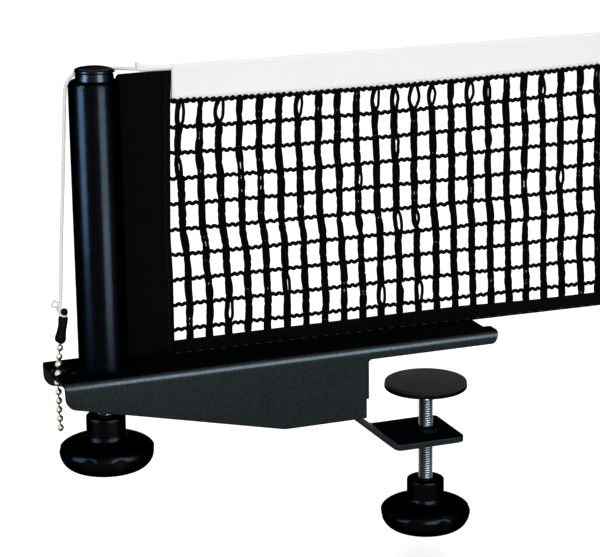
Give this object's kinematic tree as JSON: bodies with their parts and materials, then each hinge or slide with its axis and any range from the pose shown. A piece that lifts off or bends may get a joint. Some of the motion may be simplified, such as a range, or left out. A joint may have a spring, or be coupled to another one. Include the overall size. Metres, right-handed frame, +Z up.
{
  "type": "table tennis net clamp",
  "caption": "Screw-on table tennis net clamp: channel bracket with lined jaw and pressure pad, slotted post with height screw, and the first stretch of net with its tension line and bead chain.",
  "frame": {"origin": "on the table top, under the upper jaw's lining, straight above the clamp screw and in the plane of the net", "axes": "+X along the net and in over the table, +Y across the net towards its back, +Z up along the post"},
  "size_m": [0.3432, 0.0466, 0.256],
  "materials": {
    "powder_coat": "fine-textured satin powder coat",
    "post_paint": "smooth gloss powder coat",
    "zinc": "bright zinc plate",
    "brass": "nickelled brass",
    "gloss_black": "glossy moulded",
    "matte_black": "moulded matte",
    "black_rubber": "matte",
    "black_cloth": "woven matte",
    "black_twine": "loosely twisted twine",
    "white_cloth": "fine plain weave",
    "white_line": "braided line",
    "white_rod": "pultruded fibreglass"
  },
  "bodies": {
    "bracket": {"bracket": "powder_coat", "lower_jaw": "powder_coat", "end_plate": "powder_coat", "table_stop": "black_rubber", "jaw_lining": "black_rubber", "jaw_nut": "powder_coat", "bridge_plate": "powder_coat", "height_nut": "zinc", "post_guide": "matte_black", "chain_plate": "powder_coat", "chain_rivets": "powder_coat", "bead_chain": "brass", "chain_toggle": "matte_black", "line_knot": "white_line"},
    "post": {"post_tube": "post_paint", "post_foot": "matte_black", "post_collar": "gloss_black", "post_cap": "gloss_black", "near_rod": "white_rod", "near_panel": "black_cloth", "net_mesh": "black_twine", "net_tape": "white_cloth", "net_hem": "black_cloth", "head_line": "white_line", "far_panel": "black_cloth", "far_rod": "white_rod", "tension_line": "white_line"},
    "height_drive": {"height_screw": "zinc", "height_washer": "zinc", "height_clip": "zinc", "height_insert": "zinc", "height_knob": "gloss_black"},
    "pad": {"pad_disc": "matte_black", "pad_face": "black_rubber"},
    "clamp_drive": {"clamp_screw": "zinc", "pad_clip": "zinc", "clamp_insert": "zinc", "clamp_knob": "gloss_black"}
  },
  "joints": [
    {"name": "post_lift", "type": "slide", "parent": "bracket", "child": "post", "axis": [0, 0, 1], "range_m": [-0.00021, 0.005], "deforming": ["tension_line"]},
    {"name": "height_knob_spin", "type": "hinge", "parent": "post", "child": "height_drive", "pos_m": [-0.1717, 0, 0], "axis": [0, 0, 1], "range_deg": [-60, 1440]},
    {"name": "pad_travel", "type": "slide", "parent": "bracket", "child": "pad", "axis": [0, 0, 1], "range_m": [-0.015, 0.018]},
    {"name": "clamp_knob_spin", "type": "hinge", "parent": "pad", "child": "clamp_drive", "pos_m": [0, 0, 0], "axis": [0, 0, 1], "range_deg": [-4320, 5184]}
  ],
  "couplings": [
    {"joint": "height_knob_spin", "follows": "post_lift", "rad_per_m": 5026.5},
    {"joint": "clamp_knob_spin", "follows": "pad_travel", "rad_per_m": 5026.5}
  ]
}
